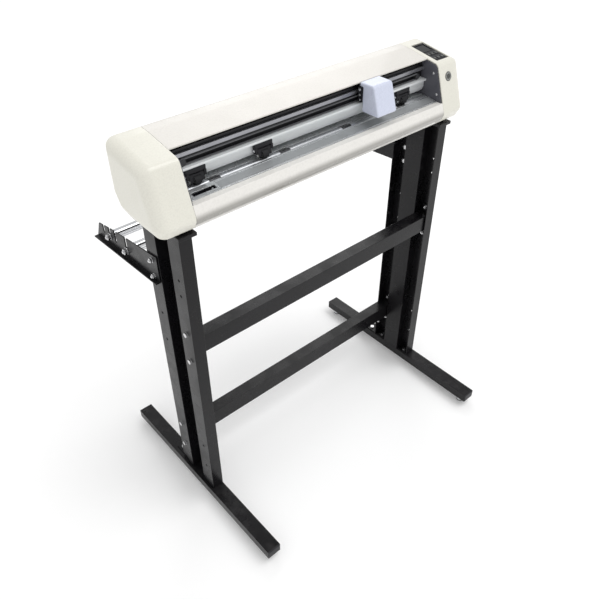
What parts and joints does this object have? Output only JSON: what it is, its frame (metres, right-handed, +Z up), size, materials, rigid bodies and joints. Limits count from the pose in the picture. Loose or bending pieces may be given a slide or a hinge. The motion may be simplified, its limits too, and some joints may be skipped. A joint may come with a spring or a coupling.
{
  "type": "vinyl cutter",
  "caption": "Roll-fed cutting plotter on a black steel stand: cream casing, sliding knife carriage on a rail, pinch rollers over a grit shaft, control panel, roll holder behind.",
  "frame": {"origin": "on the floor, under the middle of the machine's bounding box", "axes": "+X along the head towards the control panel, front faces -Y, +Z up"},
  "size_m": [0.89, 0.624, 1.0095],
  "materials": {
    "cream": "satin moulded casing",
    "black_paint": "textured powder coat",
    "dark_plate": "satin grey paint",
    "aluminium": "brushed",
    "chrome": "polished",
    "rubber": "matt",
    "black_plastic": "matt moulded",
    "lilac_plastic": "satin moulded",
    "grey_plastic": "matt moulded",
    "circuit": "coated board",
    "screen": "gloss",
    "grit": "abrasive bands on a ground shaft"
  },
  "bodies": {
    "frame": {"carriage_motor": "black_plastic", "chassis_pan": "black_paint", "control_board": "circuit", "cross_beam": "aluminium", "cutting_strip": "aluminium", "display": "screen", "drive_belt": "rubber", "feed_belt": "rubber", "feed_motor": "black_plastic", "front_apron": "cream", "front_axle": "chrome", "guide_rail": "chrome", "left_column": "black_paint", "left_end_cap": "cream", "left_foot": "black_paint", "left_roll_arm": "black_paint", "left_side_plate": "dark_plate", "lower_crossbar": "black_paint", "panel_bezel": "black_plastic", "platen": "aluminium", "power_inlet": "black_plastic", "rear_axle": "chrome", "right_column": "black_paint", "right_end_cap": "cream", "right_foot": "black_paint", "right_roll_arm": "black_paint", "right_side_plate": "dark_plate", "top_cover": "cream", "upper_crossbar": "black_paint"},
    "carriage": {"carriage_body": "black_plastic", "carriage_cover": "lilac_plastic"},
    "left_front_leveller": {"left_front_leveller": "chrome"},
    "left_rear_leveller": {"left_rear_leveller": "chrome"},
    "right_front_leveller": {"right_front_leveller": "chrome"},
    "right_rear_leveller": {"right_rear_leveller": "chrome"},
    "front_roller": {"front_roller": "chrome"},
    "rear_roller": {"rear_roller": "chrome"},
    "key_left": {"key_left": "black_plastic"},
    "key_up": {"key_up": "black_plastic"},
    "key_right": {"key_right": "black_plastic"},
    "key_down": {"key_down": "black_plastic"},
    "key_pause": {"key_pause": "black_plastic"},
    "key_enter": {"key_enter": "black_plastic"},
    "front_button": {"front_button": "grey_plastic"},
    "power_switch": {"power_switch": "black_plastic"},
    "grit_shaft": {"grit_shaft": "grit"},
    "feed_pulley": {"feed_pulley": "aluminium"},
    "drive_pulley": {"drive_pulley": "aluminium"},
    "idler_pulley": {"idler_pulley": "aluminium"},
    "tool_slide": {"tool_slide": "aluminium"},
    "blade_holder": {"blade_holder": "chrome"},
    "left_pinch_block": {"left_pinch_block": "black_plastic"},
    "left_pinch_arm": {"left_pinch_arm": "black_plastic"},
    "left_pinch_wheel": {"left_pinch_wheel": "rubber"},
    "middle_pinch_block": {"middle_pinch_block": "black_plastic"},
    "middle_pinch_arm": {"middle_pinch_arm": "black_plastic"},
    "middle_pinch_wheel": {"middle_pinch_wheel": "rubber"},
    "right_pinch_block": {"right_pinch_block": "black_plastic"},
    "right_pinch_arm": {"right_pinch_arm": "black_plastic"},
    "right_pinch_wheel": {"right_pinch_wheel": "rubber"}
  },
  "joints": [
    {"name": "left_front_leveller_turn", "type": "hinge", "parent": "frame", "child": "left_front_leveller", "pos_m": [-0.389, -0.284, 0], "axis": [0, 0, 1], "continuous": true},
    {"name": "left_rear_leveller_turn", "type": "hinge", "parent": "frame", "child": "left_rear_leveller", "pos_m": [-0.389, 0.272, 0], "axis": [0, 0, 1], "continuous": true},
    {"name": "right_front_leveller_turn", "type": "hinge", "parent": "frame", "child": "right_front_leveller", "pos_m": [0.389, -0.284, 0], "axis": [0, 0, 1], "continuous": true},
    {"name": "right_rear_leveller_turn", "type": "hinge", "parent": "frame", "child": "right_rear_leveller", "pos_m": [0.389, 0.272, 0], "axis": [0, 0, 1], "continuous": true},
    {"name": "front_roller_spin", "type": "hinge", "parent": "frame", "child": "front_roller", "pos_m": [0, 0.164, 0.697], "axis": [1, 0, 0], "continuous": true},
    {"name": "rear_roller_spin", "type": "hinge", "parent": "frame", "child": "rear_roller", "pos_m": [0, 0.241, 0.697], "axis": [1, 0, 0], "continuous": true},
    {"name": "carriage_travel", "type": "slide", "parent": "frame", "child": "carriage", "axis": [1, 0, 0], "range_m": [-0.487, 0.162]},
    {"name": "tool_lift", "type": "slide", "parent": "carriage", "child": "tool_slide", "axis": [0, 0, 1], "range_m": [-0.0048, 0], "stiffness_N_per_m": 1200, "springref_m": 0.0012},
    {"name": "blade_swivel", "type": "hinge", "parent": "tool_slide", "child": "blade_holder", "pos_m": [0.1625, -0.046, 0.913], "axis": [0, 0, 1], "continuous": true},
    {"name": "drive_pulley_spin", "type": "hinge", "parent": "frame", "child": "drive_pulley", "pos_m": [0.335, 0, 0.95925], "axis": [0, 1, 0], "continuous": true},
    {"name": "idler_pulley_spin", "type": "hinge", "parent": "frame", "child": "idler_pulley", "pos_m": [-0.335, 0, 0.95925], "axis": [0, 1, 0], "continuous": true},
    {"name": "grit_shaft_spin", "type": "hinge", "parent": "frame", "child": "grit_shaft", "pos_m": [0, -0.022, 0.9049], "axis": [1, 0, 0], "continuous": true},
    {"name": "feed_pulley_spin", "type": "hinge", "parent": "frame", "child": "feed_pulley", "pos_m": [0.366, 0.032, 0.912], "axis": [1, 0, 0], "continuous": true},
    {"name": "left_pinch_slide", "type": "slide", "parent": "frame", "child": "left_pinch_block", "axis": [1, 0, 0], "range_m": [-0.015, 0.08]},
    {"name": "left_pinch_lift", "type": "hinge", "parent": "left_pinch_block", "child": "left_pinch_arm", "pos_m": [-0.315, -0.019, 0.9317], "axis": [1, 0, 0], "range_deg": [-12, 0], "stiffness_Nm_per_rad": 0.6, "springref_deg": 6.88},
    {"name": "left_pinch_spin", "type": "hinge", "parent": "left_pinch_arm", "child": "left_pinch_wheel", "pos_m": [-0.315, -0.022, 0.921], "axis": [1, 0, 0], "continuous": true},
    {"name": "middle_pinch_slide", "type": "slide", "parent": "frame", "child": "middle_pinch_block", "axis": [1, 0, 0], "range_m": [-0.03, 0.2]},
    {"name": "middle_pinch_lift", "type": "hinge", "parent": "middle_pinch_block", "child": "middle_pinch_arm", "pos_m": [-0.149, -0.019, 0.9317], "axis": [1, 0, 0], "range_deg": [-12, 0], "stiffness_Nm_per_rad": 0.6, "springref_deg": 6.88},
    {"name": "middle_pinch_spin", "type": "hinge", "parent": "middle_pinch_arm", "child": "middle_pinch_wheel", "pos_m": [-0.149, -0.022, 0.921], "axis": [1, 0, 0], "continuous": true},
    {"name": "right_pinch_slide", "type": "slide", "parent": "frame", "child": "right_pinch_block", "axis": [1, 0, 0], "range_m": [-0.12, 0.055]},
    {"name": "right_pinch_lift", "type": "hinge", "parent": "right_pinch_block", "child": "right_pinch_arm", "pos_m": [0.275, -0.019, 0.9317], "axis": [1, 0, 0], "range_deg": [-12, 0], "stiffness_Nm_per_rad": 0.6, "springref_deg": 6.88},
    {"name": "right_pinch_spin", "type": "hinge", "parent": "right_pinch_arm", "child": "right_pinch_wheel", "pos_m": [0.275, -0.022, 0.921], "axis": [1, 0, 0], "continuous": true},
    {"name": "key_left_press", "type": "slide", "parent": "frame", "child": "key_left", "axis": [0, -0.1628, 0.9867], "range_m": [-0.0008, 0], "stiffness_N_per_m": 900, "springref_m": 0.0004},
    {"name": "key_up_press", "type": "slide", "parent": "frame", "child": "key_up", "axis": [0, -0.1628, 0.9867], "range_m": [-0.0008, 0], "stiffness_N_per_m": 900, "springref_m": 0.0004},
    {"name": "key_right_press", "type": "slide", "parent": "frame", "child": "key_right", "axis": [0, -0.1628, 0.9867], "range_m": [-0.0008, 0], "stiffness_N_per_m": 900, "springref_m": 0.0004},
    {"name": "key_down_press", "type": "slide", "parent": "frame", "child": "key_down", "axis": [0, -0.1628, 0.9867], "range_m": [-0.0008, 0], "stiffness_N_per_m": 900, "springref_m": 0.0004},
    {"name": "key_pause_press", "type": "slide", "parent": "frame", "child": "key_pause", "axis": [0, -0.1628, 0.9867], "range_m": [-0.0008, 0], "stiffness_N_per_m": 900, "springref_m": 0.0004},
    {"name": "key_enter_press", "type": "slide", "parent": "frame", "child": "key_enter", "axis": [0, -0.1628, 0.9867], "range_m": [-0.0008, 0], "stiffness_N_per_m": 900, "springref_m": 0.0004},
    {"name": "front_button_press", "type": "slide", "parent": "frame", "child": "front_button", "axis": [0, -0.9478, 0.3187], "range_m": [-0.0015, 0], "stiffness_N_per_m": 900, "springref_m": 0.0006},
    {"name": "power_switch_rock", "type": "hinge", "parent": "frame", "child": "power_switch", "pos_m": [0.4376, -0.014, 0.928], "axis": [0, 1, 0], "range_deg": [0, 16]}
  ],
  "couplings": [
    {"joint": "drive_pulley_spin", "follows": "carriage_travel", "rad_per_m": 169.49},
    {"joint": "idler_pulley_spin", "follows": "carriage_travel", "rad_per_m": 169.49},
    {"joint": "feed_pulley_spin", "follows": "grit_shaft_spin", "ratio": 2.3924}
  ]
}
